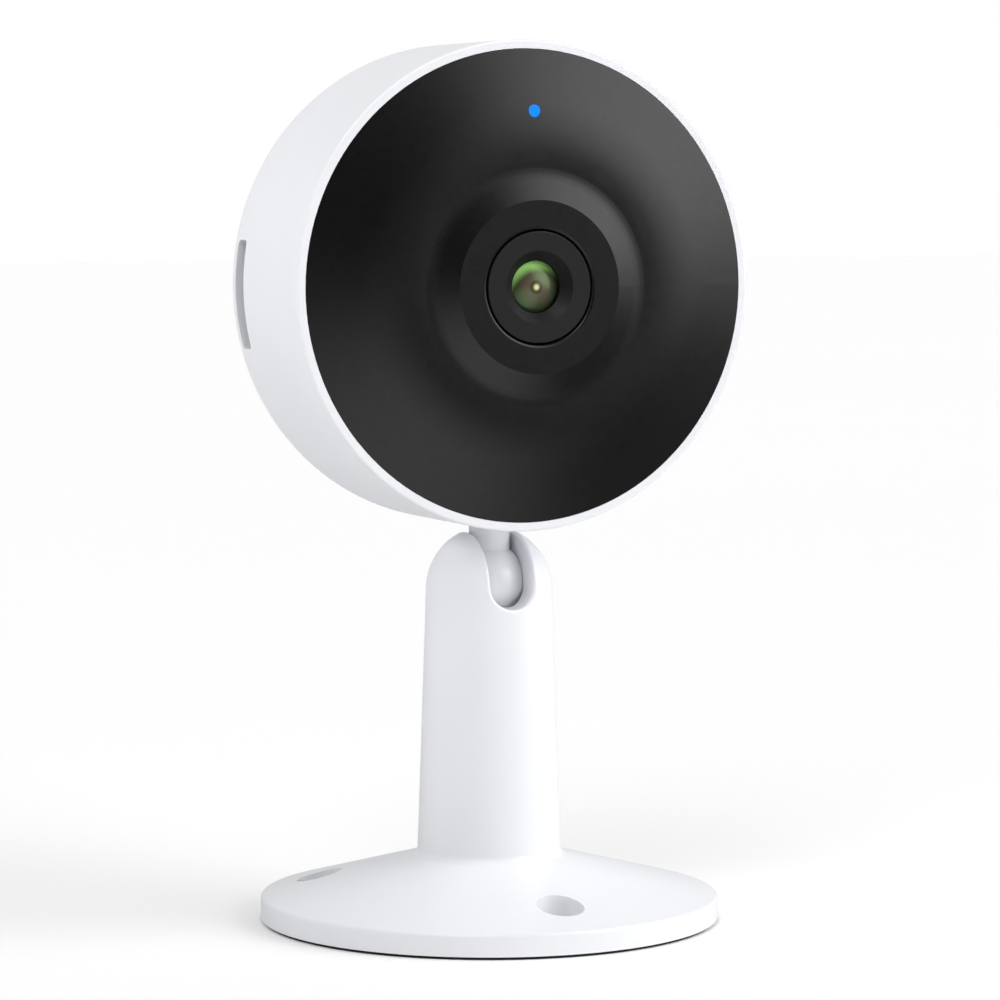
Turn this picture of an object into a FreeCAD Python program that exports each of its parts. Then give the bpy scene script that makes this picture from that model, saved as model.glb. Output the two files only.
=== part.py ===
"""Indoor security camera: a round head on a ball stud, held in the slotted dome of a round-based stand.

World frame in millimetres: +Z up, the lens looks along -Y, and the origin is the centre of the underside.
Pieces of the head are drawn in the head's own frame, which head_placement() puts in the world:
x to the right, y up from the head's centre, and z out through the lens.
"""
import FreeCAD, Part
import math
import os
import Sketcher

doc = FreeCAD.newDocument("security_camera")
sheet = doc.addObject("Spreadsheet::Sheet", "dims")

DRIVING = {
    # stand
    "base_radius": 29.7, "base_underside": 0.4, "base_rim_top": 3.2, "base_wall": 2.0, "rim_round": 0.4,
    "post_foot_radius": 9.35, "post_foot_height": 8.65, "post_foot_round": 1.0,
    "dome_radius": 8.2, "dome_height": 43.0, "slot_width": 5.94, "slot_round": 0.35,
    "lean_back": 16.0,
    "pad_radius": 29.2, "pad_thickness": 0.8, "pad_gap": 0.1, "pad_hole_radius": 3.5,
    "screw_circle_radius": 22.3, "screw_sink_radius": 3.03, "screw_sink_floor": 2.4,
    "screw_hole_radius": 2.1, "screw_boss_radius": 5.2, "rib_thickness": 1.2,
    # ball joint
    "pivot_height": 43.9, "ball_radius": 5.0, "ball_gap": 0.05, "ball_bore_radius": 5.1,
    "stem_radius": 2.65, "shank_radius": 2.0, "turning_gap": 0.05, "stem_top": 52.6, "shank_top": 59.0,
    "stud_washer_radius": 4.2, "stud_washer_thickness": 0.8, "stud_screw_radius": 0.8, "stud_screw_head": 2.0,
    "seat_bottom": 36.5, "seat_top": 41.0,
    "spring_radius": 3.5, "spring_wire": 0.4, "spring_turns": 5.0, "plug_bottom": 22.0, "plug_top": 28.0,
    # head housing
    "head_height": 82.36, "head_radius": 31.0, "head_front": 12.0, "head_back": 13.5, "shell_wall": 2.0,
    "back_round": 3.0, "front_round": 0.3, "lip_width": 1.13, "ledge_depth": 2.2, "ledge_width": 3.0,
    "ledge_thickness": 1.5, "swivel_boss_radius": 4.4,
    "boss_spacing": 15.5, "boss_radius": 2.4, "boss_pilot": 0.9, "boss_floor": 11.2,
    # front panel
    "panel_radius": 29.82, "panel_slope": 0.30, "panel_bend_radius": 19.75, "panel_bend_round": 27.0,
    "collar_foot_radius": 14.2, "collar_foot_round": 5.0, "collar_top_radius": 10.9, "collar_bore": 7.22,
    "collar_round": 0.4, "panel_thickness": 2.0, "tape_thickness": 0.2,
    "led_height": 22.0, "light_pipe_radius": 0.78,
    # lens
    "lens_front": 15.9, "lens_rim_radius": 7.03, "lens_rim_round": 0.12, "lens_rim_back": 10.6,
    "lens_mouth_radius": 4.6, "lens_lip_radius": 3.3, "lens_lip_front": 14.7, "lens_lip_back": 14.3,
    "lens_thread_radius": 6.0, "lens_back": 0.5, "lens_bore_radius": 4.4, "lens_fit": 0.05,
    "stop_radius": 2.6, "stop_back": 9.6, "stop_front": 10.4,
    "glass_radius": 3.75, "glass_edge_back": 12.4, "glass_apex": 14.9, "glass_curve": 6.06,
    "glass_thickness": 1.5, "glass_hollow_curve": 3.4, "iris_hole_radius": 1.1, "iris_gap": 0.1,
    "rear_glass_back": 6.08, "rear_glass_thickness": 4.0, "rear_glass_curve": 7.0,
    "retainer_back": 1.2, "retainer_front": 6.68, "retainer_bore": 2.9,
    # lens holder and filter
    "module_length": 26.0, "module_width": 16.0, "module_split": 1.9,
    "holder_plate": 1.3, "holder_wall": 1.7, "holder_top": 8.1, "holder_floor": 0.2,
    "light_way_radius": 4.2, "sensor_room": 11.0, "sensor_room_wall": 1.5,
    "blade_travel": 6.5, "blade_length": 8.5, "blade_width": 8.2, "blade_thickness": 0.6,
    "blade_pocket_length": 22.8, "blade_pocket_width": 8.6, "blade_pocket_depth": 1.0,
    "filter_side": 5.2, "filter_thickness": 0.3,
    "coil_length": 9.0, "coil_width": 4.5, "coil_height": 3.6, "coil_lift": 0.2,
    # boards and what sits on them
    "board_radius": 27.0, "board_back": 7.4, "board_front": 5.8, "board_hole": 1.0,
    "sensor_side": 8.5, "sensor_height": 0.9,
    "radio_length": 12.0, "radio_width": 9.0, "radio_height": 1.9, "radio_drop": 17.5,
    "antenna_length": 16.0, "antenna_thickness": 0.6, "antenna_width": 6.0, "antenna_height": 27.2,
    "led_board_back": 8.4, "led_board_front": 9.4, "led_board_radius": 23.5, "led_board_hole": 8.6,
    "led_circle_radius": 13.5, "panel_post_circle": 17.5, "panel_post_radius": 1.7, "post_pilot": 0.7,
    "lamp_side": 2.8, "lamp_thickness": 0.8, "lamp_dome_radius": 1.1, "lamp_height": 1.3,
    "light_sensor_height": 18.0,
    "card_slot_length": 14.0, "card_slot_width": 2.9, "card_slot_back": 8.6, "card_slot_drop": 1.2,
    "card_slot_round": 0.7,
    "speaker_radius": 9.5, "speaker_wall": 1.2, "speaker_depth": 2.3, "speaker_floor": 0.9,
    "speaker_hole": 5.4, "gasket_thickness": 0.3, "gasket_width": 1.5,
    "cone_radius": 8.0, "cone_top_radius": 4.0, "cone_depth": 0.9, "cone_lift": 0.5,
    "magnet_radius": 6.2, "magnet_thickness": 1.2, "speaker_rise": 5.0,
    "grille_hole_radius": 0.6, "grille_pitch": 2.3,
    "usb_width": 7.6, "usb_thickness": 2.8, "usb_drop": 19.0, "usb_mouth": 12.6, "usb_wall": 0.3,
    "usb_depth": 4.4, "usb_clearance": 0.35, "tongue_width": 5.0, "tongue_thickness": 0.7,
    "tongue_length": 4.0, "tongue_inset": 0.4,
    "socket_length": 14.4, "socket_width": 13.0, "socket_height": 1.9, "socket_side": 27.6,
    "socket_wall": 0.6, "socket_floor": 0.4, "socket_gap": 0.2,
    "button_radius": 1.5, "button_across": 9.0, "button_drop": 18.0, "button_face": 13.3,
    "button_travel": 0.5, "button_flange": 0.7, "button_flange_thickness": 0.6, "button_slack": 0.05,
    "button_fit": 0.1, "button_stop_gap": 0.02, "switch_side": 4.4, "switch_height": 1.05,
    "microphone_length": 3.8, "microphone_width": 3.0, "microphone_height": 1.1,
    "microphone_hole": 0.4,
}


class Size:
    """A number together with the spreadsheet formula that gives it."""

    def __init__(self, value, formula):
        self.value = value
        self.formula = formula

    def __add__(self, other):
        other = as_size(other)
        return Size(self.value + other.value, f"({self.formula} + {other.formula})")

    def __sub__(self, other):
        other = as_size(other)
        return Size(self.value - other.value, f"({self.formula} - {other.formula})")

    def __mul__(self, other):
        other = as_size(other)
        return Size(self.value * other.value, f"({self.formula} * {other.formula})")

    def __neg__(self):
        return Size(-self.value, f"(0 - {self.formula})")

    def __rsub__(self, other):
        return as_size(other) - self

    __radd__ = __add__
    __rmul__ = __mul__


def as_size(number):
    return number if isinstance(number, Size) else Size(float(number), f"{number:.6f}")


class Dimensions:
    """The driving dimensions, as attributes that hold a Size each."""


d = Dimensions()
for row, (alias, value) in enumerate(DRIVING.items(), start=1):
    sheet.set(f"A{row}", alias)
    sheet.set(f"B{row}", str(value))
    sheet.setAlias(f"B{row}", alias)
    setattr(d, alias, Size(value, f"dims.{alias}"))
doc.recompute()

# Derived heights in the head's frame that several pieces share.
shell_inside = d.head_radius - d.shell_wall
back_inside = d.shell_wall - d.head_back
ledge_front = d.head_front - d.ledge_depth
panel_flange_back = ledge_front + d.tape_thickness
panel_flat = d.head_front + (d.panel_radius - d.panel_bend_radius) * d.panel_slope
collar_front = panel_flat + (d.collar_foot_radius - d.collar_top_radius) * d.panel_slope
panel_inside = panel_flat - d.panel_thickness
board_front = -d.board_front
board_back = -d.board_back

# Length of a cutting tool that has to come out on the far side.
THROUGH = 12

TURNS = {
    "Z": FreeCAD.Rotation(),
    "Y": FreeCAD.Rotation(FreeCAD.Vector(1, 0, 0), -90),
    "X": FreeCAD.Rotation(FreeCAD.Vector(0, 1, 0), 90),
}


def bind(obj, prop, size):
    obj.setExpression(prop, as_size(size).formula)


def place(obj, at, along="Z"):
    """Puts an object's own origin at a point, with its Z axis along X, Y or Z."""
    obj.Placement = FreeCAD.Placement(FreeCAD.Vector(), TURNS[along])
    for axis, size in zip("xyz", at):
        bind(obj, f"Placement.Base.{axis}", size)
    return obj


def cylinder(radius, length, at=(0, 0, 0), along="Z"):
    obj = doc.addObject("Part::Cylinder", "Cylinder")
    bind(obj, "Radius", radius)
    bind(obj, "Height", length)
    return place(obj, at, along)


def sphere(radius, at):
    obj = doc.addObject("Part::Sphere", "Sphere")
    bind(obj, "Radius", radius)
    return place(obj, at)


def box(size, low):
    """A box from its lowest corner."""
    obj = doc.addObject("Part::Box", "Box")
    for prop, length in zip(("Length", "Width", "Height"), size):
        bind(obj, prop, length)
    return place(obj, low)


def centred_box(size, centre_x, centre_y, low_z):
    """A box centred on a point in X and Y, standing on low_z."""
    low = (centre_x - as_size(size[0]) * 0.5, centre_y - as_size(size[1]) * 0.5, low_z)
    return box(size, low)


def fuse(*objects):
    if len(objects) == 1:
        return objects[0]
    obj = doc.addObject("Part::MultiFuse", "Fuse")
    obj.Shapes = list(objects)
    return obj


def cut(base, *tools):
    obj = doc.addObject("Part::Cut", "Cut")
    obj.Base = base
    obj.Tool = fuse(*tools)
    return obj


def common(*objects):
    obj = doc.addObject("Part::MultiCommon", "Common")
    obj.Shapes = list(objects)
    return obj


def group(*objects):
    """Separate solids kept as one piece, such as identical screws."""
    obj = doc.addObject("Part::Compound", "Group")
    obj.Links = list(objects)
    return obj


def ring(outer, inner, low_z, length, centre=(0, 0)):
    return cut(cylinder(outer, length, (*centre, low_z)),
               cylinder(inner, as_size(length) + 2, (*centre, as_size(low_z) - 1)))


def origin_part(body, role):
    return next(f for f in body.Origin.OriginFeatures if f.Role == role)


def draw_outline(sketch, points):
    """A closed outline of straight edges, each corner held by its distances from the sketch's origin."""
    count = len(points)
    corners = [FreeCAD.Vector(as_size(x).value, as_size(y).value, 0) for x, y in points]
    for i, corner in enumerate(corners):
        sketch.addGeometry(Part.LineSegment(corner, corners[(i + 1) % count]), False)
    for i in range(count):
        sketch.addConstraint(Sketcher.Constraint("Coincident", i, 2, (i + 1) % count, 1))
    for i, point in enumerate(points):
        for kind, axis, coordinate in (("DistanceX", -2, point[0]), ("DistanceY", -1, point[1])):
            size = as_size(coordinate)
            if abs(size.value) < 1e-9:
                sketch.addConstraint(Sketcher.Constraint("PointOnObject", i, 1, axis))
                continue
            held = sketch.addConstraint(Sketcher.Constraint(kind, -1, 1, i, 1, size.value))
            sketch.setExpression(f"Constraints[{held}]", size.formula)


def sketched_body(plane, points):
    body = doc.addObject("PartDesign::Body", "Body")
    sketch = body.newObject("Sketcher::SketchObject", "Outline")
    sketch.AttachmentSupport = [(origin_part(body, plane), "")]
    sketch.MapMode = "FlatFace"
    draw_outline(sketch, points)
    return body, sketch


def turned(points, rounds=()):
    """A body turned about Z from a (radius, height) outline.

    Each of the rounds is the (radius, height) of a corner, and the radius that it is rounded to.
    """
    body, sketch = sketched_body("XZ_Plane", points)
    turn = body.newObject("PartDesign::Revolution", "Turned")
    turn.Profile = sketch
    turn.ReferenceAxis = (sketch, ["V_Axis"])
    turn.Angle = 360
    doc.recompute()
    for (radius, height), round_radius in rounds:
        base = body.Tip
        found = [f"Edge{i + 1}" for i, edge in enumerate(base.Shape.Edges)
                 if isinstance(edge.Curve, Part.Circle)
                 and abs(edge.Curve.Radius - as_size(radius).value) < 0.01
                 and abs(edge.Curve.Center.z - as_size(height).value) < 0.01]
        fillet = body.newObject("PartDesign::Fillet", "Round")
        fillet.Base = (base, found)
        bind(fillet, "Radius", round_radius)
        body.Tip = fillet
        doc.recompute()
    return body


def rounded_slot(width, height, depth, corner, centre, low_z):
    """A rounded rectangle standing along Z, for cutting a slot or a port."""
    corner = as_size(corner)
    wide = centred_box((width, height - 2 * corner, depth), *centre, low_z)
    tall = centred_box((width - 2 * corner, height, depth), *centre, low_z)
    corners = []
    for side_x in (-0.5, 0.5):
        for side_y in (-0.5, 0.5):
            x = centre[0] + side_x * (width - 2 * corner)
            y = centre[1] + side_y * (height - 2 * corner)
            corners.append(cylinder(corner, depth, (x, y, low_z)))
    return fuse(wide, tall, *corners)


def on_circle(radius, degrees):
    """A point on a circle about Z, as two Sizes."""
    angle = math.radians(degrees)
    return as_size(radius) * math.cos(angle), as_size(radius) * math.sin(angle)


pieces = {}


def keep(name, obj):
    """Records a finished piece under its name."""
    obj.Label = name
    pieces[name] = obj
    return obj


def head_placement(obj):
    """Stands a piece drawn in the head's frame up in the world, looking along -Y."""
    obj.Placement = FreeCAD.Placement(FreeCAD.Vector(), FreeCAD.Rotation(FreeCAD.Vector(1, 0, 0), 90))
    bind(obj, "Placement.Base.z", d.head_height)


def keep_in_head(name, obj):
    """Wraps a piece drawn in the head's frame, so that its own placement stays as drawn."""
    wrapped = doc.addObject("Part::Compound", "HeadPiece")
    wrapped.Links = [obj]
    head_placement(wrapped)
    return keep(name, wrapped)


# ---------------------------------------------------------------- stand

BASE_HOLE_ANGLES = (-90, 30, 150)
BASE_RIB_ANGLES = (-30, 90, 210)


def base_cone_height(radius, below=0.0):
    """Height of the base's sloping top at a radius, less a wall thickness."""
    rise = d.post_foot_height - d.base_rim_top
    run = d.base_radius - d.post_foot_radius
    slope = Size(rise.value / run.value, f"({rise.formula} / {run.formula})")
    return d.base_rim_top + (d.base_radius - radius) * slope - below


def underside_hollow():
    """The hollow under the base, less the screw bosses and ribs that stay."""
    inner, outer = d.post_foot_radius + 1.2, d.base_radius - d.base_wall
    hollow = turned([(inner, 0), (outer, 0), (outer, base_cone_height(outer, d.base_wall)),
                     (inner, base_cone_height(inner, d.base_wall))])
    stays = []
    for degrees in BASE_HOLE_ANGLES:
        x, y = on_circle(d.screw_circle_radius, degrees)
        stays.append(cylinder(d.screw_boss_radius, THROUGH, (x, y, 0)))
    for degrees in BASE_RIB_ANGLES:
        rib = box((d.base_radius, d.rib_thickness, THROUGH), (0, 0, 0))
        rib.Placement.Rotation = FreeCAD.Rotation(FreeCAD.Vector(0, 0, 1), degrees)
        stays.append(rib)
    return cut(hollow, *stays)


def leaned_back(obj):
    """Turns an object made at the pivot backward by the angle that the stem may lean back."""
    obj.Placement.Rotation = FreeCAD.Rotation(FreeCAD.Vector(-1, 0, 0), d.lean_back.value)
    bind(obj, "Placement.Rotation.Angle", d.lean_back)
    return obj


def stem_slot():
    """The slot that the stem swings in: level at the front, up through the dome, and a little way back."""
    half_slot = d.slot_width * 0.5
    pivot = (0, 0, d.pivot_height)
    front = box((d.slot_width, 20, 20), (-half_slot, -20, d.pivot_height))
    back = doc.addObject("Part::Compound", "LeanedSlot")
    back.Links = [box((d.slot_width, 8, 20), (-half_slot, -8, 0))]
    place(back, pivot)
    return fuse(cylinder(half_slot, 20, (0, -20, d.pivot_height), "Y"), front,
                cylinder(half_slot, 20, pivot), leaned_back(cylinder(half_slot, 20, pivot)),
                leaned_back(back))


def stand_body():
    """Base and post in one moulding, with a slotted dome that lets the stem lean forward."""
    outside = turned([(0, d.base_underside), (d.base_radius, d.base_underside),
                      (d.base_radius, d.base_rim_top), (d.post_foot_radius, d.post_foot_height),
                      (d.dome_radius, d.dome_height), (0, d.dome_height)],
                     rounds=[((d.base_radius, d.base_rim_top), d.rim_round),
                             ((d.post_foot_radius, d.post_foot_height), d.post_foot_round)])
    domed = fuse(outside, sphere(d.dome_radius, (0, 0, d.dome_height)))
    slotted = cut(domed, stem_slot())
    doc.recompute()
    eased = ease_slot_edges(slotted)
    tools = [cylinder(d.ball_bore_radius, d.pivot_height, (0, 0, 0)),
             sphere(d.ball_radius + d.ball_gap, (0, 0, d.pivot_height)),
             cylinder(d.pad_radius + d.pad_gap, d.pad_thickness, (0, 0, 0)),
             underside_hollow()]
    for degrees in BASE_HOLE_ANGLES:
        x, y = on_circle(d.screw_circle_radius, degrees)
        tools.append(cylinder(d.screw_hole_radius, THROUGH, (x, y, 0)))
        tools.append(cylinder(d.screw_sink_radius, THROUGH, (x, y, d.screw_sink_floor)))
    return cut(eased, *tools)


def ease_slot_edges(slotted):
    """Rounds the slot's outer edges, which lie on the dome and on the front of the post."""
    half_slot = d.slot_width.value / 2
    dome_centre = (0, 0, d.dome_height.value)
    found = []
    for i, edge in enumerate(slotted.Shape.Edges):
        middle = edge.valueAt((edge.FirstParameter + edge.LastParameter) / 2)
        in_slot = abs(middle.x) < half_slot + 0.02 and middle.z > d.pivot_height.value - half_slot - 0.1
        outside = math.dist(tuple(middle), dome_centre) > d.dome_radius.value - 0.02
        front_or_top = middle.y < 0 or middle.z > d.pivot_height.value + d.ball_radius.value
        if in_slot and outside and front_or_top:
            found.append((i + 1, d.slot_round.value, d.slot_round.value))
    eased = doc.addObject("Part::Fillet", "SlotEdges")
    eased.Base = slotted
    eased.Edges = found
    return eased


def foot_pad():
    pad = cylinder(d.pad_radius, d.pad_thickness, (0, 0, 0))
    holes = []
    for degrees in BASE_HOLE_ANGLES:
        x, y = on_circle(d.screw_circle_radius, degrees)
        holes.append(cylinder(d.pad_hole_radius, 4, (x, y, -1)))
    return cut(pad, *holes)


def seat_spring():
    """A compression spring, swept along a helix of the sheet's sizes."""
    height = d.seat_bottom.value - d.plug_top.value - 2 * d.spring_wire.value - 0.1
    pitch = height / d.spring_turns.value
    helix = Part.makeHelix(pitch, height, d.spring_radius.value)
    start = FreeCAD.Vector(d.spring_radius.value, 0, 0)
    heading = FreeCAD.Vector(0, 1, pitch / (2 * math.pi * d.spring_radius.value))
    section = Part.Wire(Part.makeCircle(d.spring_wire.value, start, heading))
    coil = Part.Wire(helix.Edges).makePipeShell([section], True, True)
    spring = doc.addObject("Part::Feature", "Spring")
    spring.Shape = coil
    spring.Placement.Base = FreeCAD.Vector(0, 0, d.plug_top.value + d.spring_wire.value + 0.05)
    return spring


def build_stand():
    keep("stand_body", stand_body())
    keep("foot_pad", foot_pad())
    seat = cylinder(d.ball_radius, d.seat_top - d.seat_bottom, (0, 0, d.seat_bottom))
    keep("ball_seat", cut(seat, sphere(d.ball_radius + d.ball_gap, (0, 0, d.pivot_height))))
    keep("seat_spring", seat_spring())
    plug = cylinder(d.ball_radius + d.ball_gap, d.plug_top - d.plug_bottom, (0, 0, d.plug_bottom))
    driver_slot = box((8, 1.2, 1.5), (-4, -0.6, d.plug_bottom))
    keep("spring_plug", cut(plug, driver_slot))


# ---------------------------------------------------------------- ball stud

def build_stud():
    ball = sphere(d.ball_radius, (0, 0, d.pivot_height))
    stem = cylinder(d.stem_radius, d.stem_top - d.pivot_height, (0, 0, d.pivot_height))
    shank = cylinder(d.shank_radius, d.shank_top - d.pivot_height, (0, 0, d.pivot_height))
    pilot = cylinder(d.stud_screw_radius + 0.05, 5, (0, 0, d.shank_top - 5))
    keep("ball_stud", cut(fuse(ball, stem, shank), pilot))
    keep("stud_washer", ring(d.stud_washer_radius, d.stud_screw_radius + 0.05, d.shank_top,
                             d.stud_washer_thickness))
    seat = d.shank_top + d.stud_washer_thickness
    head = cut(cylinder(d.stud_screw_head, 1.4, (0, 0, seat)), box((0.5, 2.6, 1), (-0.25, -1.3, seat + 0.8)),
               box((2.6, 0.5, 1), (-1.3, -0.25, seat + 0.8)))
    keep("stud_screw", fuse(head, cylinder(d.stud_screw_radius, 5.2, (0, 0, seat - 5))))


# ---------------------------------------------------------------- head housing

def grille_centres():
    """Centres of the speaker holes: one in the middle, then rings of 6, 12 and 18."""
    centres = [(as_size(0), d.speaker_rise)]
    for ring_number in (1, 2, 3):
        for i in range(6 * ring_number):
            x, y = on_circle(d.grille_pitch * ring_number, 360 * i / (6 * ring_number))
            centres.append((x, y + d.speaker_rise))
    return centres


def boss_centres():
    return [(side_x * d.boss_spacing, side_y * d.boss_spacing) for side_x in (-1, 1) for side_y in (-1, 1)]


def card_slot():
    """The memory card's slot, cut through the left wall."""
    block = rounded_slot(d.card_slot_width, d.card_slot_length, 8, d.card_slot_round, (0, 0), 0)
    wrapped = doc.addObject("Part::Compound", "CardSlot")
    wrapped.Links = [block]
    return place(wrapped, (-d.head_radius - 4, -d.card_slot_drop, -d.card_slot_back), "X")


def rear_shell():
    wall = turned([(0, -d.head_back), (d.head_radius, -d.head_back), (d.head_radius, d.head_front),
                   (d.head_radius - d.lip_width, d.head_front), (d.head_radius - d.lip_width, ledge_front),
                   (d.head_radius - d.ledge_width, ledge_front),
                   (d.head_radius - d.ledge_width, ledge_front - d.ledge_thickness),
                   (shell_inside, ledge_front - d.ledge_thickness - 1), (shell_inside, back_inside),
                   (0, back_inside)],
                  rounds=[((d.head_radius, -d.head_back), d.back_round),
                          ((d.head_radius, d.head_front), d.front_round)])
    boss_top = d.head_height - d.shank_top + 0.1
    boss_foot = shell_inside + 0.9
    swivel_boss = cylinder(d.swivel_boss_radius, boss_foot - boss_top, (0, -boss_foot, 0), "Y")
    bosses = [cylinder(d.boss_radius, board_back - back_inside + 0.5, (x, y, back_inside - 0.5))
              for x, y in boss_centres()]
    whole = fuse(wall, swivel_boss, *bosses)
    shoulder = d.head_height - d.stem_top - d.turning_gap
    outside_back = -d.head_back - 1
    through_wall = d.shell_wall + 2
    tools = [cylinder(d.stem_radius + d.turning_gap, through_wall, (0, -shoulder - through_wall, 0), "Y"),
             cylinder(d.shank_radius + d.turning_gap, THROUGH, (0, -shoulder, 0), "Y"),
             card_slot(),
             rounded_slot(d.usb_width + 2 * d.usb_clearance, d.usb_thickness + 2 * d.usb_clearance,
                          through_wall, 0.9, (0, -d.usb_drop), outside_back),
             cylinder(d.button_radius + d.button_fit, through_wall,
                      (d.button_across, -d.button_drop, outside_back)),
             cylinder(d.microphone_hole, through_wall, (-d.button_across, -d.button_drop, outside_back))]
    tools += [cylinder(d.boss_pilot, THROUGH, (x, y, -d.boss_floor)) for x, y in boss_centres()]
    tools += [cylinder(d.grille_hole_radius, through_wall, (x, y, outside_back))
              for x, y in grille_centres()]
    return cut(whole, *tools)


def panel_posts():
    return [on_circle(d.panel_post_circle, degrees) for degrees in (30, 150, 270)]


def front_panel():
    """The black face: a shallow cone that flattens, then rises to the collar round the lens."""
    cone_inside = panel_inside - (d.panel_radius - 2.2 - 19) * d.panel_slope
    shape = turned([(d.collar_bore, collar_front - d.panel_thickness - 1.8),
                    (d.collar_bore + 1.8, panel_inside - 0.8), (d.collar_bore + 1.8, panel_inside),
                    (19, panel_inside), (d.panel_radius - 2.2, cone_inside),
                    (d.panel_radius - 2.2, panel_flange_back), (d.panel_radius, panel_flange_back),
                    (d.panel_radius, d.head_front), (d.panel_bend_radius, panel_flat),
                    (d.collar_foot_radius, panel_flat), (d.collar_top_radius, collar_front),
                    (d.collar_bore, collar_front)],
                   rounds=[((d.panel_bend_radius, panel_flat), d.panel_bend_round),
                           ((d.collar_foot_radius, panel_flat), d.collar_foot_round),
                           ((d.collar_bore, collar_front), d.collar_round)])
    posts = [cylinder(d.panel_post_radius, panel_inside - d.led_board_front + 0.3,
                      (x, y, d.led_board_front)) for x, y in panel_posts()]
    pilots = [cylinder(d.post_pilot, 3, (x, y, d.led_board_front - 0.1)) for x, y in panel_posts()]
    pipe_hole = cylinder(d.light_pipe_radius + 0.02, 8, (0, d.led_height, d.led_board_front))
    return cut(fuse(shape, *posts), pipe_hole, *pilots)


def screw(x, y, seat, head_radius, head_height, shank_radius, shank_length, out=1):
    """A pan-head screw with a cross recess. Its head stands out from seat along +Z or -Z."""
    seat = as_size(seat)
    head_low = seat if out > 0 else seat - head_height
    shank_low = seat - shank_length if out > 0 else seat
    recess_low = seat + head_height * 0.5 if out > 0 else seat - head_height
    half_depth = head_height * 0.5
    head = cut(cylinder(head_radius, head_height, (x, y, head_low)),
               centred_box((head_radius * 1.3, 0.4, half_depth), x, y, recess_low),
               centred_box((0.4, head_radius * 1.3, half_depth), x, y, recess_low))
    return fuse(head, cylinder(shank_radius, shank_length, (x, y, shank_low)))


def build_housing():
    keep_in_head("rear_shell", rear_shell())
    keep_in_head("front_panel", front_panel())
    keep_in_head("panel_tape", ring(d.head_radius - d.lip_width - 0.1, d.panel_radius - 2.0, ledge_front,
                                    d.tape_thickness))
    surface = d.head_front + (d.panel_radius - d.led_height) * d.panel_slope
    pipe = fuse(cylinder(d.light_pipe_radius, surface - 11.0 - 0.1, (0, d.led_height, 11.0)),
                cylinder(1.3, 0.6, (0, d.led_height, 11.0)))
    keep_in_head("light_pipe", pipe)


# ---------------------------------------------------------------- lens and filter

def build_lens():
    outside = [(d.lens_mouth_radius, d.lens_front), (d.lens_rim_radius, d.lens_front),
               (d.lens_rim_radius, d.lens_rim_back), (d.lens_thread_radius, d.lens_rim_back),
               (d.lens_thread_radius, d.lens_back)]
    glass_seat = d.glass_radius + d.lens_fit
    inside = [(d.lens_bore_radius, d.lens_back), (d.lens_bore_radius, d.stop_back),
              (d.stop_radius, d.stop_back), (d.stop_radius, d.stop_front),
              (glass_seat, d.stop_front), (glass_seat, d.lens_lip_back),
              (d.lens_lip_radius, d.lens_lip_back), (d.lens_lip_radius, d.lens_lip_front)]
    rim_round = ((d.lens_rim_radius, d.lens_front), d.lens_rim_round)
    keep_in_head("lens_barrel", turned(outside + inside, rounds=[rim_round]))

    front = common(cylinder(d.glass_radius, THROUGH, (0, 0, d.glass_edge_back)),
                   sphere(d.glass_curve, (0, 0, d.glass_apex - d.glass_curve)))
    hollow_centre = d.glass_apex - d.glass_thickness - d.glass_hollow_curve
    keep_in_head("lens_front_element", cut(front, sphere(d.glass_hollow_curve, (0, 0, hollow_centre))))
    iris_back = d.stop_front + d.iris_gap
    keep_in_head("lens_iris", ring(d.glass_radius, d.iris_hole_radius, iris_back,
                                   d.glass_edge_back - d.iris_gap - iris_back))
    rear_radius = d.lens_bore_radius - d.lens_fit
    rear_front = d.rear_glass_back + d.rear_glass_thickness
    rear = common(cylinder(rear_radius, THROUGH, (0, 0, d.rear_glass_back - 1)),
                  sphere(d.rear_glass_curve, (0, 0, rear_front - d.rear_glass_curve)),
                  sphere(d.rear_glass_curve, (0, 0, d.rear_glass_back + d.rear_glass_curve)))
    keep_in_head("lens_rear_element", rear)
    keep_in_head("lens_retainer", ring(rear_radius, d.retainer_bore, d.retainer_back,
                                       d.retainer_front - d.retainer_back))


def build_lens_holder():
    """The threaded holder for the lens, on top of the block that the filter slides in."""
    split = -d.module_split
    plate = centred_box((d.module_length, d.module_width, d.holder_plate), 0, 0, split)
    tower_foot = split + d.holder_plate * 0.5
    tower = cylinder(d.lens_thread_radius + d.holder_wall, d.holder_top - tower_foot, (0, 0, tower_foot))
    keep_in_head("lens_holder", cut(fuse(plate, tower),
                                    cylinder(d.lens_thread_radius + d.lens_fit, THROUGH,
                                             (0, 0, d.holder_floor)),
                                    cylinder(d.light_way_radius, THROUGH, (0, 0, split - 1))))

    block_height = d.board_front - d.module_split
    block = centred_box((d.module_length, d.module_width, block_height), 0, 0, board_front)
    room = centred_box((d.sensor_room, d.sensor_room, block_height - d.sensor_room_wall), 0, 0, board_front)
    pocket = centred_box((d.blade_pocket_length, d.blade_pocket_width, THROUGH), 0, 0,
                         split - d.blade_pocket_depth)
    light_way = cylinder(d.light_way_radius - 0.2, THROUGH, (0, 0, board_front))
    keep_in_head("filter_housing", cut(block, pocket, light_way, room))


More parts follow.
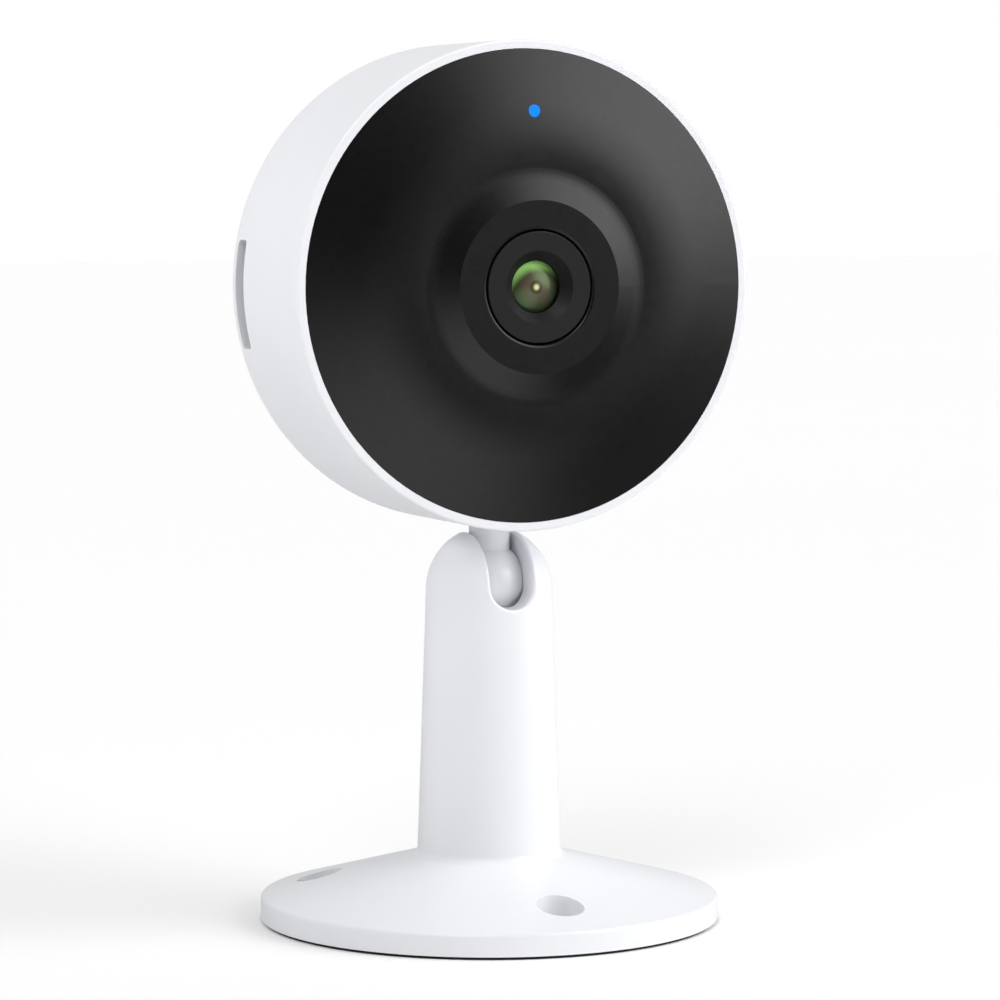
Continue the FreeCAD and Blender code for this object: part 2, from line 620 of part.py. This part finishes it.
def build_filter():
    """A blade that carries a glass for daylight and one for night, side by side."""
    blade_back = -d.module_split - d.blade_pocket_depth + 0.15
    blade = box((d.blade_length + d.blade_travel, d.blade_width, d.blade_thickness),
                (-d.blade_length * 0.5, -d.blade_width * 0.5, blade_back))
    glass_back = blade_back + (d.blade_thickness - d.filter_thickness) * 0.5
    centres = (as_size(0), d.blade_travel)
    windows = [centred_box((d.filter_side, d.filter_side, THROUGH), x, 0, blade_back - 1) for x in centres]
    glasses = [centred_box((d.filter_side, d.filter_side, d.filter_thickness), x, 0, glass_back)
               for x in centres]
    keep_in_head("filter_blade", cut(blade, *windows))
    keep_in_head("filter_glasses", group(*glasses))
    coil_low = (-d.coil_length * 0.5, -d.module_width * 0.5 - d.coil_width, board_front + d.coil_lift)
    keep_in_head("filter_coil", box((d.coil_length, d.coil_width, d.coil_height), coil_low))


# ---------------------------------------------------------------- boards and what sits on them

# Length, width and height of each chip, then where its middle is on the board.
CHIPS = (
    (9, 9, 1.2, 0, 15), (6, 5, 1.0, -18, 4), (5, 5, 0.9, 18, -4), (4, 3, 1.1, 18.5, 5),
    (2, 1.2, 0.8, 9, 11), (2, 1.2, 0.8, -9, 11), (2, 1.2, 0.8, 9, -12), (2, 1.2, 0.8, -9, -12),
)
LAMP_COUNT = 6


def build_main_board():
    holes = [cylinder(d.board_hole, THROUGH, (x, y, board_back - 1)) for x, y in boss_centres()]
    board = cylinder(d.board_radius, d.board_back - d.board_front, (0, 0, board_back))
    keep_in_head("main_board", cut(board, *holes))
    screws = [screw(x, y, board_front, 1.9, 1.3, 0.85, 5.2) for x, y in boss_centres()]
    keep_in_head("board_screws", group(*screws))
    keep_in_head("image_sensor", centred_box((d.sensor_side, d.sensor_side, d.sensor_height), 0, 0,
                                             board_front))
    chips = [centred_box((length, width, height), x, y, board_front)
             for length, width, height, x, y in CHIPS]
    keep_in_head("main_board_chips", group(*chips))
    keep_in_head("wifi_module", centred_box((d.radio_length, d.radio_width, d.radio_height), 0,
                                            -d.radio_drop, board_front))
    antenna_low = (-d.antenna_length * 0.5, d.antenna_height, -d.antenna_width * 0.5)
    keep_in_head("antenna", box((d.antenna_length, d.antenna_thickness, d.antenna_width), antenna_low))


def build_led_board():
    front = d.led_board_front
    board = ring(d.led_board_radius, d.led_board_hole, d.led_board_back, front - d.led_board_back)
    holes = [cylinder(d.post_pilot + 0.1, THROUGH, (x, y, d.led_board_back - 1)) for x, y in panel_posts()]
    keep_in_head("led_board", cut(board, *holes))
    screws = [screw(x, y, d.led_board_back, 1.5, 0.9, 0.65, 3.6, out=-1) for x, y in panel_posts()]
    keep_in_head("led_board_screws", group(*screws))
    lamps = []
    for i in range(LAMP_COUNT):
        x, y = on_circle(d.led_circle_radius, 360 / LAMP_COUNT * i)
        lamps.append(fuse(centred_box((d.lamp_side, d.lamp_side, d.lamp_thickness), x, y, front),
                          cylinder(d.lamp_dome_radius, d.lamp_height, (x, y, front))))
    keep_in_head("infrared_leds", group(*lamps))
    keep_in_head("status_led", centred_box((1.6, 0.8, 0.6), 0, d.led_height, front))
    keep_in_head("light_sensor", centred_box((3, 2, 0.9), 0, d.light_sensor_height, front))


def build_ports():
    socket_low = board_back - d.socket_height
    socket_foot = -d.card_slot_drop - d.socket_width * 0.5
    socket = box((d.socket_length, d.socket_width, d.socket_height),
                 (-d.socket_side, socket_foot, socket_low))
    card_space = box((d.socket_length - d.socket_wall, d.socket_width - 2 * d.socket_wall,
                      d.socket_height - d.socket_floor - 0.3),
                     (-d.socket_side - d.socket_gap, socket_foot + d.socket_wall,
                      socket_low + d.socket_floor))
    keep_in_head("card_socket", cut(socket, card_space))

    centre = (0, -d.usb_drop)
    can = rounded_slot(d.usb_width, d.usb_thickness, d.usb_mouth - d.board_back, 0.8, centre, -d.usb_mouth)
    mouth = rounded_slot(d.usb_width - 2 * d.usb_wall, d.usb_thickness - 2 * d.usb_wall,
                         d.usb_depth + 0.2, 0.6, centre, -d.usb_mouth - 0.2)
    keep_in_head("usb_socket", cut(can, mouth))
    tongue_low = (-d.tongue_width * 0.5, -d.usb_drop + 0.1, d.tongue_inset - d.usb_mouth)
    keep_in_head("usb_tongue", box((d.tongue_width, d.tongue_thickness, d.tongue_length), tongue_low))

    button_at = (d.button_across, -d.button_drop)
    switch_back = board_back - d.switch_height
    plunger = cylinder(d.button_radius,
                       d.button_face + switch_back - d.button_travel - d.button_stop_gap,
                       (*button_at, -d.button_face))
    flange = cylinder(d.button_radius + d.button_flange, d.button_flange_thickness,
                      (*button_at, back_inside + d.button_slack))
    keep_in_head("reset_button", fuse(plunger, flange))
    keep_in_head("reset_switch", centred_box((d.switch_side, d.switch_side, d.switch_height), *button_at,
                                             switch_back))
    keep_in_head("microphone", centred_box((d.microphone_length, d.microphone_width, d.microphone_height),
                                           -d.button_across, -d.button_drop,
                                           board_back - d.microphone_height))


def build_speaker():
    centre = (as_size(0), d.speaker_rise)
    basket_back = back_inside + d.gasket_thickness
    keep_in_head("speaker_gasket", ring(d.speaker_radius, d.speaker_radius - d.gasket_width, back_inside,
                                        d.gasket_thickness, centre))
    basket = cut(cylinder(d.speaker_radius, d.speaker_depth, (*centre, basket_back)),
                 cylinder(d.speaker_radius - d.speaker_wall, d.speaker_depth - d.speaker_floor + 0.1,
                          (*centre, basket_back - 0.1)),
                 cylinder(d.speaker_hole, THROUGH, (*centre, back_inside)))
    keep_in_head("speaker_basket", basket)
    cone = doc.addObject("Part::Cone", "Cone")
    bind(cone, "Radius1", d.cone_radius)
    bind(cone, "Radius2", d.cone_top_radius)
    bind(cone, "Height", d.cone_depth)
    place(cone, (*centre, back_inside + d.cone_lift))
    keep_in_head("speaker_cone", cone)
    keep_in_head("speaker_magnet", cylinder(d.magnet_radius, d.magnet_thickness,
                                            (*centre, basket_back + d.speaker_depth)))


def check_document():
    doc.recompute()
    for obj in doc.Objects:
        if "Invalid" in obj.State or "Error" in obj.State:
            raise RuntimeError(f"{obj.Label} failed to build: {obj.State}")
    for name, obj in pieces.items():
        if obj.Shape.isNull() or not obj.Shape.isValid() or not obj.Shape.Solids:
            raise RuntimeError(f"{name} has no valid solid")


build_stand()
build_stud()
build_housing()
build_lens()
build_lens_holder()
build_filter()
build_main_board()
build_led_board()
build_ports()
build_speaker()
check_document()
os.makedirs("parts", exist_ok=True)
for name, obj in pieces.items():
    obj.Shape.exportStep(os.path.join("parts", name + ".step"))
    print(f"{name}: {len(obj.Shape.Solids)} solids, {obj.Shape.Volume:.1f} mm3")
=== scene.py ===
"""Studio view of an indoor security camera: round white head, black face, lens, post and round base.

Lengths are in metres in the frame's own axes: +Z is up, the lens looks along -Y, and the origin is under
the base. MM turns millimetres into metres. Every piece is the CAD's own shape, with a procedural material.
"""
import math

import bpy
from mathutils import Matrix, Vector


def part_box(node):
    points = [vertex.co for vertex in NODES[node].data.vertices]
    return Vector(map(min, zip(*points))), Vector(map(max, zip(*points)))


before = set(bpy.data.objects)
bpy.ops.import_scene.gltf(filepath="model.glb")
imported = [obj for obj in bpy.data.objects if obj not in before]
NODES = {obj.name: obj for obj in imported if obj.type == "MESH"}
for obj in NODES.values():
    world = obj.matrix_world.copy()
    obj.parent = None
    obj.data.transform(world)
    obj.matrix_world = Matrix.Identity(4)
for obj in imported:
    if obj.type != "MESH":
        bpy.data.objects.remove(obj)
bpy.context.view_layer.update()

MM = 0.001


def node_centre(name):
    low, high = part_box(name)
    return (low + high) / 2


HEAD_CENTRE = node_centre("front_panel")


# ---------------------------------------------------------------- camera

CAMERA_AZIMUTH = math.radians(-23.67)
CAMERA_ELEVATION = 0.0789
CAMERA_DISTANCE = 0.52277
CAMERA_AIM_HEIGHT = 0.05451
CAMERA_SIDE_STEP = 0.0014
CAMERA_LENS = 145.6


def make_camera():
    """A long lens, a little to the left of the object and a little above it."""
    flat = math.cos(CAMERA_ELEVATION)
    back = Vector((math.sin(CAMERA_AZIMUTH) * flat, -math.cos(CAMERA_AZIMUTH) * flat,
                   math.sin(CAMERA_ELEVATION)))
    right = Vector((math.cos(CAMERA_AZIMUTH), math.sin(CAMERA_AZIMUTH), 0))
    camera = bpy.data.objects.new("Camera", bpy.data.cameras.new("Camera"))
    camera.location = back * CAMERA_DISTANCE + Vector((0, 0, CAMERA_AIM_HEIGHT)) + right * CAMERA_SIDE_STEP
    camera.rotation_euler = (-back).to_track_quat("-Z", "Y").to_euler()
    camera.data.lens = CAMERA_LENS
    camera.data.sensor_width = 36
    camera.data.clip_start = 0.01
    camera.data.clip_end = 20
    bpy.context.scene.collection.objects.link(camera)
    bpy.context.scene.camera = camera


make_camera()


# ---------------------------------------------------------------- materials

# Noise mostly stays between these two values, so they are the ends of what it drives.
NOISE_LOW, NOISE_HIGH = 0.3, 0.7

# How fast the colour and the gloss of a moulding drift, and how fine the polish of bare metal is, in cycles
# per metre.
COLOUR_DRIFT = 45
GLOSS_DRIFT = 900
POLISH = 2500


def shader_of(material):
    return material.node_tree.nodes["Principled BSDF"]


def new_material(name, **inputs):
    """A Principled material, with its constant inputs set on the shader's own sockets."""
    material = bpy.data.materials.new(name)
    material.use_nodes = True
    shader = shader_of(material)
    for socket, value in inputs.items():
        shader.inputs[socket.replace("_", " ")].default_value = value
    return material


def add_node(material, kind, **settings):
    """A node, with each setting put on the socket of that name or else on the node itself."""
    node = material.node_tree.nodes.new(kind)
    for key, value in settings.items():
        if key in node.inputs:
            node.inputs[key].default_value = value
        else:
            setattr(node, key, value)
    return node


def link(material, source, target):
    material.node_tree.links.new(source, target)


def noise(material, scale, detail=3.0, roughness=0.5):
    """Noise in the object's own coordinates, in cycles per metre."""
    place = add_node(material, "ShaderNodeTexCoord")
    texture = add_node(material, "ShaderNodeTexNoise", Scale=scale, Detail=detail, Roughness=roughness)
    link(material, place.outputs["Object"], texture.inputs["Vector"])
    return texture.outputs["Fac"]


def vary(material, factor, socket, low, high):
    """Drives a number on the shader between two values."""
    spread = add_node(material, "ShaderNodeMapRange")
    spread.inputs["From Min"].default_value = NOISE_LOW
    spread.inputs["From Max"].default_value = NOISE_HIGH
    spread.inputs["To Min"].default_value = low
    spread.inputs["To Max"].default_value = high
    link(material, factor, spread.inputs["Value"])
    link(material, spread.outputs["Result"], shader_of(material).inputs[socket])


def colour_between(material, factor, dark, light):
    """Drives the base colour between two colours."""
    ramp = add_node(material, "ShaderNodeValToRGB")
    stops = zip(ramp.color_ramp.elements, (NOISE_LOW, NOISE_HIGH), (dark, light))
    for stop, position, colour in stops:
        stop.position = position
        stop.color = (*colour, 1)
    link(material, factor, ramp.inputs["Fac"])
    link(material, ramp.outputs["Color"], shader_of(material).inputs["Base Color"])


def grain(material, height, depth, strength):
    """Fine surface relief from a height between 0 and 1, with its depth in metres."""
    bump = add_node(material, "ShaderNodeBump", Strength=strength, Distance=depth)
    link(material, height, bump.inputs["Height"])
    link(material, bump.outputs["Normal"], shader_of(material).inputs["Normal"])


def moulded(name, dark, light, rough, relief, coat=0.0, **inputs):
    """Moulded plastic: a faint drift of colour, uneven gloss and a fine spark-eroded grain.

    rough is the least and the greatest roughness. relief is the grain's cycles per metre and its depth.
    """
    material = new_material(name, Coat_Weight=coat, **inputs)
    colour_between(material, noise(material, COLOUR_DRIFT, 2), dark, light)
    vary(material, noise(material, GLOSS_DRIFT, 4), "Roughness", *rough)
    relief_scale, relief_depth = relief
    grain(material, noise(material, relief_scale, 5, 0.6), relief_depth, 0.35)
    return material


def brushed(name, dark, light, rough):
    """Bare metal with fine uneven polish."""
    material = new_material(name, Metallic=1.0)
    colour_between(material, noise(material, POLISH * 0.2, 3), dark, light)
    vary(material, noise(material, POLISH, 4), "Roughness", *rough)
    grain(material, noise(material, POLISH * 2, 3), 0.00001, 0.4)
    return material


def make_materials():
    glossy = dict(Specular_IOR_Level=0.5, IOR=1.5)
    made = {
        "white": moulded("white_plastic", (0.824, 0.830, 0.862), (0.852, 0.858, 0.888),
                         (0.30, 0.36), (5200, 0.000008), coat=0.12, Coat_Roughness=0.22, **glossy),
        "stud": moulded("white_stud", (0.806, 0.812, 0.842), (0.846, 0.852, 0.880),
                        (0.20, 0.26), (6000, 0.000005), coat=0.25, Coat_Roughness=0.12, **glossy),
        "face": moulded("black_face", (0.0030, 0.0030, 0.0031), (0.0038, 0.0038, 0.0039),
                        (0.27, 0.31), (7000, 0.000003), Specular_IOR_Level=0.36),
        "button": moulded("button_plastic", (0.72, 0.72, 0.73), (0.76, 0.76, 0.77),
                          (0.36, 0.45), (7000, 0.000006)),
        "inner_white": moulded("acetal", (0.74, 0.74, 0.72), (0.79, 0.79, 0.77),
                               (0.4, 0.5), (6000, 0.000006)),
        "inner_black": moulded("filled_black", (0.014, 0.014, 0.015), (0.022, 0.022, 0.023),
                               (0.48, 0.6), (5000, 0.00001)),
        "lens_black": moulded("anodised_black", (0.0060, 0.0060, 0.0063), (0.0080, 0.0080, 0.0084),
                              (0.42, 0.5), (9000, 0.000004), Specular_IOR_Level=0.26),
        "foam": moulded("black_foam", (0.010, 0.010, 0.011), (0.022, 0.022, 0.022),
                        (0.8, 0.95), (3500, 0.00006)),
        "board": moulded("solder_mask", (0.010, 0.085, 0.035), (0.014, 0.110, 0.048),
                         (0.28, 0.38), (5000, 0.000008), coat=0.3),
        "chip": moulded("chip_epoxy", (0.016, 0.016, 0.017), (0.026, 0.026, 0.027),
                        (0.5, 0.62), (9000, 0.00001)),
        "cone": moulded("coated_paper", (0.030, 0.030, 0.030), (0.050, 0.050, 0.050),
                        (0.6, 0.75), (4000, 0.00003)),
        "steel": brushed("zinc_plate", (0.52, 0.52, 0.53), (0.66, 0.66, 0.66), (0.24, 0.38)),
        "tinned": brushed("tinned_sheet", (0.60, 0.60, 0.58), (0.72, 0.72, 0.70), (0.26, 0.40)),
        "copper": brushed("copper_winding", (0.60, 0.27, 0.13), (0.74, 0.38, 0.20), (0.28, 0.42)),
    }
    made["led"] = glow_material()
    made["front_glass"] = lens_glass_with_painted_reflections()
    made["glass"] = inner_glass()
    return made


def glow_material():
    """The lit end of the light pipe."""
    material = new_material("status_blue", Roughness=0.35, Emission_Strength=1.0, Specular_IOR_Level=0.2)
    colour_between(material, noise(material, 2500, 2), (0.0, 0.02, 0.12), (0.0, 0.04, 0.2))
    shader_of(material).inputs["Emission Color"].default_value = (0.0, 0.25, 0.9, 1)
    return material


def inner_glass():
    """Clear glass with a thin anti-reflection coating, for the optics and lamps inside the head."""
    return new_material("inner_glass", Transmission_Weight=1.0, IOR=1.52, Roughness=0.02,
                        Base_Color=(0.86, 0.90, 0.93, 1), Thin_Film_Thickness=420.0, Thin_Film_IOR=1.38)


def distance_from_axis(material, centre):
    """Distance from the line through a point along the lens, in the object's own coordinates."""
    place = add_node(material, "ShaderNodeTexCoord")
    aside = add_node(material, "ShaderNodeVectorMath", operation="SUBTRACT")
    flat = add_node(material, "ShaderNodeVectorMath", operation="MULTIPLY")
    length = add_node(material, "ShaderNodeVectorMath", operation="LENGTH")
    aside.inputs[1].default_value = centre
    flat.inputs[1].default_value = (1, 0, 1)
    link(material, place.outputs["Object"], aside.inputs[0])
    link(material, aside.outputs["Vector"], flat.inputs[0])
    link(material, flat.outputs["Vector"], length.inputs[0])
    return length.outputs["Value"]


# What shows inside the lens, painted on its front glass: the dark iris as painted shade, and the inner
# reflections and the bright pupil as painted reflections. Each row is a radius in millimetres, and the
# colour there.
LENS_PAINTED_VIEW = (
    (0.0, (0.80, 0.78, 0.52)),
    (0.26, (0.60, 0.56, 0.30)),
    (0.46, (0.12, 0.10, 0.055)),
    (0.68, (0.040, 0.034, 0.024)),
    (0.95, (0.105, 0.080, 0.058)),
    (1.60, (0.085, 0.068, 0.048)),
    (2.40, (0.050, 0.060, 0.034)),
    (3.20, (0.026, 0.040, 0.020)),
)
LENS_REACH = 3.75

# A green reflection painted on the front glass's colour: it is outside a circle that is low and to the
# right, so that it shows to the upper left. It comes in between the two radii.
PAINTED_REFLECTION_CENTRE = HEAD_CENTRE + Vector((0.6, 0, -1.7)) * MM
PAINTED_REFLECTION_INNER, PAINTED_REFLECTION_OUTER = 3.5 * MM, 4.9 * MM
PAINTED_REFLECTION_COLOUR = (0.50, 0.96, 0.26, 1)


def lens_glass_with_painted_reflections():
    """Dark opaque glass with a green-tinted reflection. The view into the lens, its bright pupil and a
    green reflection to the upper left are painted on as colour.
    """
    material = new_material("coated_glass", Roughness=0.22, Specular_IOR_Level=0.5, IOR=1.5,
                            Specular_Tint=(0.50, 1.0, 0.30, 1), Coat_Weight=0.2, Coat_Roughness=0.04)
    scale = add_node(material, "ShaderNodeMath", operation="DIVIDE")
    scale.inputs[1].default_value = LENS_REACH * MM
    # The view into the lens painted as colour by radius: painted shade of the iris, painted reflections and
    # a painted bright pupil.
    ramp = add_node(material, "ShaderNodeValToRGB")
    stops = ramp.color_ramp.elements
    while len(stops) < len(LENS_PAINTED_VIEW):
        stops.new(0.5)
    for stop, (radius, colour) in zip(stops, LENS_PAINTED_VIEW):
        stop.position = radius / LENS_REACH
        stop.color = (*colour, 1)
    link(material, distance_from_axis(material, HEAD_CENTRE), scale.inputs[0])
    link(material, scale.outputs["Value"], ramp.inputs["Fac"])
    # Painted reflection: the glass's colour turns green to the upper left, between the two radii.
    painted_reflection = add_node(material, "ShaderNodeMapRange", interpolation_type="SMOOTHSTEP")
    painted_reflection.inputs["From Min"].default_value = PAINTED_REFLECTION_INNER
    painted_reflection.inputs["From Max"].default_value = PAINTED_REFLECTION_OUTER
    link(material, distance_from_axis(material, PAINTED_REFLECTION_CENTRE), painted_reflection.inputs["Value"])
    blend = add_node(material, "ShaderNodeMix", data_type="RGBA")
    blend.inputs["B"].default_value = PAINTED_REFLECTION_COLOUR
    link(material, painted_reflection.outputs["Result"], blend.inputs["Factor"])
    link(material, ramp.outputs["Color"], blend.inputs["A"])
    link(material, blend.outputs["Result"], shader_of(material).inputs["Base Color"])
    return material


MATERIALS = make_materials()


# ---------------------------------------------------------------- finish of the CAD's nodes

FINISHES = {
    "white": ["stand_body", "rear_shell"],
    "stud": ["ball_stud"],
    "face": ["front_panel"],
    "button": ["reset_button"],
    "inner_white": ["ball_seat"],
    "inner_black": ["lens_holder", "filter_housing", "filter_blade", "speaker_basket", "usb_tongue"],
    "lens_black": ["lens_barrel", "lens_iris", "lens_retainer"],
    "foam": ["foot_pad", "panel_tape", "speaker_gasket"],
    "board": ["main_board", "led_board", "antenna"],
    "chip": ["main_board_chips", "reset_switch"],
    "cone": ["speaker_cone"],
    "steel": ["seat_spring", "spring_plug", "stud_washer", "stud_screw", "board_screws", "led_board_screws",
              "speaker_magnet"],
    "tinned": ["card_socket", "usb_socket", "wifi_module", "microphone"],
    "copper": ["filter_coil"],
    "led": ["light_pipe"],
    "front_glass": ["lens_front_element"],
    "glass": ["lens_rear_element", "filter_glasses", "image_sensor", "infrared_leds", "status_led",
              "light_sensor"],
}


def finish_cad_nodes():
    for finish, names in FINISHES.items():
        for name in names:
            slots = NODES[name].data.materials
            slots.clear()
            slots.append(MATERIALS[finish])


finish_cad_nodes()


# ---------------------------------------------------------------- floor and light

def make_floor():
    """A wide, plain, pale floor that doesn't show in reflections."""
    half = 4.0
    corners = [(-half, -half, 0), (half, -half, 0), (half, half, 0), (-half, half, 0)]
    mesh = bpy.data.meshes.new("Floor")
    mesh.from_pydata(corners, [], [(0, 1, 2, 3)])
    floor = bpy.data.objects.new("Floor", mesh)
    bpy.context.scene.collection.objects.link(floor)
    material = new_material("studio_paper", Roughness=0.8, Specular_IOR_Level=0.1)
    colour_between(material, noise(material, 3, 2), (0.978, 0.978, 0.979), (0.984, 0.984, 0.985))
    mesh.materials.append(material)
    floor.visible_glossy = False


def direction(azimuth, elevation):
    """A unit vector towards a place in the studio, in degrees. Azimuth 0 is in front of the lens."""
    azimuth, elevation = math.radians(azimuth), math.radians(elevation)
    return Vector((math.sin(azimuth) * math.cos(elevation), -math.cos(azimuth) * math.cos(elevation),
                   math.sin(elevation)))


# Each soft panel round the object: where it is, the angle out to which it is even, the angle where it ends,
# and its brightness. A negative one is a black card.
PANELS = [
    (direction(22, -4), 42, 84, -0.42),
    (direction(52, 27), 8, 38, 3.4),
    (direction(-4, -34), 6, 38, 1.45),
    (direction(-42, 52), 6, 26, 2.4),
    (direction(-100, 35), 15, 60, 0.38),
]

# The light from all round, how much more of it comes from the right and from above, and the brightness of
# the background that the camera sees.
AMBIENT = 0.47
MORE_FROM_THE_RIGHT = 0.24
MORE_FROM_ABOVE = 0.04
BACKGROUND = 1.0

# The soft box on the head: it aims a little above the head's centre, and its grid keeps its light narrow.
HEAD_LIGHT_SIZE = 0.14
HEAD_LIGHT_SPREAD = math.radians(16)
HEAD_LIGHT_POWER = 0.0135
HEAD_LIGHT_AIM = HEAD_CENTRE + Vector((0, 0, 0.018))
HEAD_LIGHT_DIRECTION = direction(-95, 30)
HEAD_LIGHT_DISTANCE = 0.36


def world_math(nodes, links, operation, first, second):
    """Joins two values, each a number or a socket."""
    node = nodes.new("ShaderNodeMath")
    node.operation = operation
    for socket, value in zip(node.inputs, (first, second)):
        if isinstance(value, (int, float)):
            socket.default_value = value
        else:
            links.new(value, socket)
    return node.outputs[0]


def along_direction(nodes, links, towards, vector):
    """How far the direction of a ray points along a vector."""
    node = nodes.new("ShaderNodeVectorMath")
    node.operation = "DOT_PRODUCT"
    node.inputs[1].default_value = vector
    links.new(towards, node.inputs[0])
    return node.outputs["Value"]


def make_world():
    """Soft light from all round, with brighter panels and a black card. The camera sees plain white."""
    world = bpy.data.worlds.new("Studio")
    world.use_nodes = True
    nodes, links = world.node_tree.nodes, world.node_tree.links
    towards = nodes.new("ShaderNodeTexCoord").outputs["Generated"]
    slope = Vector((MORE_FROM_THE_RIGHT, 0, MORE_FROM_ABOVE))
    total = world_math(nodes, links, "ADD", along_direction(nodes, links, towards, slope), AMBIENT)
    for aim, middle, edge, brightness in PANELS:
        spread = nodes.new("ShaderNodeMapRange")
        spread.interpolation_type = "SMOOTHSTEP"
        links.new(along_direction(nodes, links, towards, aim), spread.inputs["Value"])
        spread.inputs["From Min"].default_value = math.cos(math.radians(edge))
        spread.inputs["From Max"].default_value = math.cos(math.radians(middle))
        spread.inputs["To Max"].default_value = brightness
        total = world_math(nodes, links, "ADD", total, spread.outputs["Result"])
    seen = nodes.new("ShaderNodeLightPath").outputs["Is Camera Ray"]
    lit = world_math(nodes, links, "MULTIPLY", total, world_math(nodes, links, "SUBTRACT", 1, seen))
    strength = world_math(nodes, links, "ADD", lit, world_math(nodes, links, "MULTIPLY", seen, BACKGROUND))
    links.new(strength, nodes["Background"].inputs["Strength"])
    nodes["Background"].inputs["Color"].default_value = (1, 1, 1, 1)
    bpy.context.scene.world = world


def make_head_light():
    """A soft box to the upper left that lights the head more than the base, and shows in no reflection."""
    light = bpy.data.lights.new("HeadLight", "AREA")
    light.shape = "DISK"
    light.size = HEAD_LIGHT_SIZE
    light.spread = HEAD_LIGHT_SPREAD
    light.energy = HEAD_LIGHT_POWER
    lamp = bpy.data.objects.new("HeadLight", light)
    lamp.location = HEAD_LIGHT_AIM + HEAD_LIGHT_DIRECTION * HEAD_LIGHT_DISTANCE
    lamp.rotation_euler = (lamp.location - HEAD_LIGHT_AIM).to_track_quat("Z", "Y").to_euler()
    lamp.visible_glossy = False
    bpy.context.scene.collection.objects.link(lamp)


def make_studio():
    make_floor()
    make_world()
    make_head_light()
    bpy.context.scene.view_settings.view_transform = "Standard"


make_studio()
